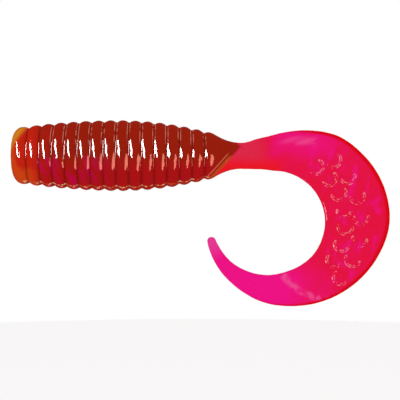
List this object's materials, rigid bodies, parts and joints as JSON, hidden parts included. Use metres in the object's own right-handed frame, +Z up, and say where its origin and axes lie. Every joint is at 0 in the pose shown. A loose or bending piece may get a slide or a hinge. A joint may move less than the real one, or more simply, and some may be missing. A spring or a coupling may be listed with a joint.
{
  "type": "soft plastic worm",
  "caption": "Soft curly-tail worm lure: ribbed cigar body with a flat nose face, a neck, and a wide flat sickle tail that swings, waves and uncurls.",
  "frame": {"origin": "centre of the flat nose face, where a jig head's shoulder sits", "axes": "+X along the body towards the tail, +Z up through the worm's back, +Y square to the flat tail"},
  "size_m": [0.0797, 0.0148, 0.0393],
  "materials": {
    "amber_jelly": "gloss",
    "brown_jelly": "gloss",
    "pink_jelly": "gloss"
  },
  "bodies": {
    "nose": {"nose_ring": "amber_jelly"},
    "link_01": {"rib_01": "brown_jelly", "core_01": "pink_jelly"},
    "link_02": {"rib_02": "brown_jelly", "core_02": "pink_jelly"},
    "link_03": {"rib_03": "brown_jelly", "core_03": "pink_jelly"},
    "link_04": {"rib_04": "brown_jelly", "core_04": "pink_jelly"},
    "link_05": {"rib_05": "brown_jelly", "core_05": "pink_jelly"},
    "link_06": {"rib_06": "brown_jelly", "core_06": "pink_jelly"},
    "link_07": {"rib_07": "brown_jelly", "core_07": "pink_jelly"},
    "link_08": {"rib_08": "brown_jelly", "core_08": "pink_jelly"},
    "link_09": {"rib_09": "brown_jelly", "core_09": "pink_jelly"},
    "link_10": {"rib_10": "brown_jelly", "core_10": "pink_jelly"},
    "link_11": {"rib_11": "brown_jelly", "core_11": "pink_jelly"},
    "link_12": {"rib_12": "brown_jelly", "core_12": "pink_jelly"},
    "link_13": {"rib_13": "brown_jelly", "core_13": "pink_jelly"},
    "link_14": {"rib_14": "brown_jelly", "core_14": "pink_jelly"},
    "neck": {"shoulder_ring": "brown_jelly", "shoulder_core": "pink_jelly", "neck_jacket": "brown_jelly", "neck_pink": "pink_jelly"},
    "blade_01": {"tail_01": "pink_jelly"},
    "blade_02": {"tail_02": "pink_jelly"},
    "blade_03": {"tail_03": "pink_jelly"},
    "blade_04": {"tail_04": "pink_jelly"},
    "blade_05": {"tail_05": "pink_jelly"},
    "blade_06": {"tail_06": "pink_jelly"},
    "blade_07": {"tail_07": "pink_jelly"},
    "blade_08": {"tail_08": "pink_jelly"},
    "blade_09": {"tail_09": "pink_jelly"},
    "blade_10": {"tail_10": "pink_jelly"},
    "blade_11": {"tail_11": "pink_jelly"},
    "blade_12": {"tail_12": "pink_jelly"},
    "blade_tip": {"tail_tip": "pink_jelly"}
  },
  "joints": [
    {"name": "body_sway", "type": "hinge", "parent": "nose", "child": "link_01", "pos_m": [0.0034, 0, 0], "axis": [0, 0.0262, 0.9997], "range_deg": [-8, 8], "stiffness_Nm_per_rad": 0.025},
    {"name": "body_arch", "type": "hinge", "parent": "link_01", "child": "link_02", "pos_m": [0.00602, 0, 0], "axis": [0, 0.9997, -0.0262], "range_deg": [-8, 8], "stiffness_Nm_per_rad": 0.025},
    {"name": "body_sway_2", "type": "hinge", "parent": "link_02", "child": "link_03", "pos_m": [0.00864, 0, 0], "axis": [0, 0.0262, 0.9997], "range_deg": [-8, 8], "stiffness_Nm_per_rad": 0.025},
    {"name": "body_arch_2", "type": "hinge", "parent": "link_03", "child": "link_04", "pos_m": [0.01126, 0, 0], "axis": [0, 0.9997, -0.0262], "range_deg": [-8, 8], "stiffness_Nm_per_rad": 0.025},
    {"name": "body_sway_3", "type": "hinge", "parent": "link_04", "child": "link_05", "pos_m": [0.01388, 0, 0], "axis": [0, 0.0262, 0.9997], "range_deg": [-8, 8], "stiffness_Nm_per_rad": 0.025},
    {"name": "body_arch_3", "type": "hinge", "parent": "link_05", "child": "link_06", "pos_m": [0.0165, 0, 0], "axis": [0, 0.9997, -0.0262], "range_deg": [-8, 8], "stiffness_Nm_per_rad": 0.025},
    {"name": "body_sway_4", "type": "hinge", "parent": "link_06", "child": "link_07", "pos_m": [0.01912, 0, 0], "axis": [0, 0.0262, 0.9997], "range_deg": [-8, 8], "stiffness_Nm_per_rad": 0.025},
    {"name": "body_arch_4", "type": "hinge", "parent": "link_07", "child": "link_08", "pos_m": [0.02174, 0, 0], "axis": [0, 0.9997, -0.0262], "range_deg": [-8, 8], "stiffness_Nm_per_rad": 0.025},
    {"name": "body_sway_5", "type": "hinge", "parent": "link_08", "child": "link_09", "pos_m": [0.02436, 0, 0], "axis": [0, 0.0262, 0.9997], "range_deg": [-8, 8], "stiffness_Nm_per_rad": 0.025},
    {"name": "body_arch_5", "type": "hinge", "parent": "link_09", "child": "link_10", "pos_m": [0.02698, 0, 0], "axis": [0, 0.9997, -0.0262], "range_deg": [-8, 8], "stiffness_Nm_per_rad": 0.025},
    {"name": "body_sway_6", "type": "hinge", "parent": "link_10", "child": "link_11", "pos_m": [0.0296, 0, 0], "axis": [0, 0.0262, 0.9997], "range_deg": [-8, 8], "stiffness_Nm_per_rad": 0.025},
    {"name": "body_arch_6", "type": "hinge", "parent": "link_11", "child": "link_12", "pos_m": [0.03222, 0, 0], "axis": [0, 0.9997, -0.0262], "range_deg": [-8, 8], "stiffness_Nm_per_rad": 0.025},
    {"name": "body_sway_7", "type": "hinge", "parent": "link_12", "child": "link_13", "pos_m": [0.03484, 0, 0], "axis": [0, 0.0262, 0.9997], "range_deg": [-8, 8], "stiffness_Nm_per_rad": 0.025},
    {"name": "body_arch_7", "type": "hinge", "parent": "link_13", "child": "link_14", "pos_m": [0.03746, 0, 0], "axis": [0, 0.9997, -0.0262], "range_deg": [-8, 8], "stiffness_Nm_per_rad": 0.025},
    {"name": "body_sway_8", "type": "hinge", "parent": "link_14", "child": "neck", "pos_m": [0.04008, 0, 0], "axis": [0, 0.0262, 0.9997], "range_deg": [-8, 8], "stiffness_Nm_per_rad": 0.012},
    {"name": "tail_swing", "type": "hinge", "parent": "neck", "child": "blade_01", "pos_m": [0.04778, 0, 0], "axis": [0, 0.0262, 0.9997], "range_deg": [-12, 12], "stiffness_Nm_per_rad": 0.0005},
    {"name": "tail_wave_front", "type": "hinge", "parent": "blade_01", "child": "blade_02", "pos_m": [0.05431, 0, 0.00055], "axis": [-0.1045, 0, 0.9945], "range_deg": [-16, 16], "stiffness_Nm_per_rad": 0.00007},
    {"name": "tail_uncurl", "type": "hinge", "parent": "blade_02", "child": "blade_03", "pos_m": [0.06072, 0, 0.00545], "axis": [0.0063, -0.9997, 0.0254], "range_deg": [0, 14], "stiffness_Nm_per_rad": 0.0015},
    {"name": "tail_wave_front_2", "type": "hinge", "parent": "blade_03", "child": "blade_04", "pos_m": [0.06548, 0, -0.00081], "axis": [0.5878, 0, 0.809], "range_deg": [-16, 16], "stiffness_Nm_per_rad": 0.00006},
    {"name": "tail_uncurl_2", "type": "hinge", "parent": "blade_04", "child": "blade_05", "pos_m": [0.07572, 0, -0.00165], "axis": [0.0222, -0.9997, 0.0139], "range_deg": [0, 14], "stiffness_Nm_per_rad": 0.0015},
    {"name": "tail_wave_front_3", "type": "hinge", "parent": "blade_05", "child": "blade_06", "pos_m": [0.07256, 0, -0.01112], "axis": [0.9848, 0, 0.1736], "range_deg": [-16, 16], "stiffness_Nm_per_rad": 0.00005},
    {"name": "tail_uncurl_3", "type": "hinge", "parent": "blade_06", "child": "blade_07", "pos_m": [0.07842, 0, -0.01887], "axis": [0.0256, -0.9997, -0.0054], "range_deg": [0, 14], "stiffness_Nm_per_rad": 0.0015},
    {"name": "tail_wave_rear", "type": "hinge", "parent": "blade_07", "child": "blade_08", "pos_m": [0.06888, 0, -0.02286], "axis": [0.829, 0, -0.5592], "range_deg": [-16, 16], "stiffness_Nm_per_rad": 0.00004},
    {"name": "tail_uncurl_4", "type": "hinge", "parent": "blade_08", "child": "blade_09", "pos_m": [0.06683, 0, -0.03035], "axis": [0.0146, -0.9997, -0.0217], "range_deg": [0, 14], "stiffness_Nm_per_rad": 0.0015},
    {"name": "tail_wave_rear_2", "type": "hinge", "parent": "blade_09", "child": "blade_10", "pos_m": [0.05884, 0, -0.02813], "axis": [0.2079, 0, -0.9781], "range_deg": [-16, 16], "stiffness_Nm_per_rad": 0.000018},
    {"name": "tail_uncurl_5", "type": "hinge", "parent": "blade_10", "child": "blade_11", "pos_m": [0.05285, 0, -0.03111], "axis": [-0.0045, -0.9997, -0.0258], "range_deg": [0, 14], "stiffness_Nm_per_rad": 0.0015},
    {"name": "tail_wave_rear_3", "type": "hinge", "parent": "blade_11", "child": "blade_12", "pos_m": [0.04825, 0, -0.02623], "axis": [-0.5299, 0, -0.848], "range_deg": [-16, 16], "stiffness_Nm_per_rad": 0.000009},
    {"name": "tail_wave_rear_4", "type": "hinge", "parent": "blade_12", "child": "blade_tip", "pos_m": [0.04407, 0, -0.02263], "axis": [-0.809, 0, -0.5878], "range_deg": [-16, 16], "stiffness_Nm_per_rad": 0.000007}
  ],
  "couplings": [
    {"joint": "body_sway_2", "follows": "body_sway", "ratio": 1},
    {"joint": "body_arch_2", "follows": "body_arch", "ratio": 1},
    {"joint": "body_sway_3", "follows": "body_sway", "ratio": 1},
    {"joint": "body_arch_3", "follows": "body_arch", "ratio": 1},
    {"joint": "body_sway_4", "follows": "body_sway", "ratio": 1},
    {"joint": "body_arch_4", "follows": "body_arch", "ratio": 1},
    {"joint": "body_sway_5", "follows": "body_sway", "ratio": 1},
    {"joint": "body_arch_5", "follows": "body_arch", "ratio": 1},
    {"joint": "body_sway_6", "follows": "body_sway", "ratio": 1},
    {"joint": "body_arch_6", "follows": "body_arch", "ratio": 1},
    {"joint": "body_sway_7", "follows": "body_sway", "ratio": 1},
    {"joint": "body_arch_7", "follows": "body_arch", "ratio": 1},
    {"joint": "body_sway_8", "follows": "body_sway", "ratio": 1},
    {"joint": "tail_wave_front_2", "follows": "tail_wave_front", "ratio": 1},
    {"joint": "tail_uncurl_2", "follows": "tail_uncurl", "ratio": 1},
    {"joint": "tail_wave_front_3", "follows": "tail_wave_front", "ratio": 1},
    {"joint": "tail_uncurl_3", "follows": "tail_uncurl", "ratio": 1},
    {"joint": "tail_uncurl_4", "follows": "tail_uncurl", "ratio": 1},
    {"joint": "tail_wave_rear_2", "follows": "tail_wave_rear", "ratio": 1},
    {"joint": "tail_uncurl_5", "follows": "tail_uncurl", "ratio": 1},
    {"joint": "tail_wave_rear_3", "follows": "tail_wave_rear", "ratio": 1},
    {"joint": "tail_wave_rear_4", "follows": "tail_wave_rear", "ratio": 1}
  ]
}
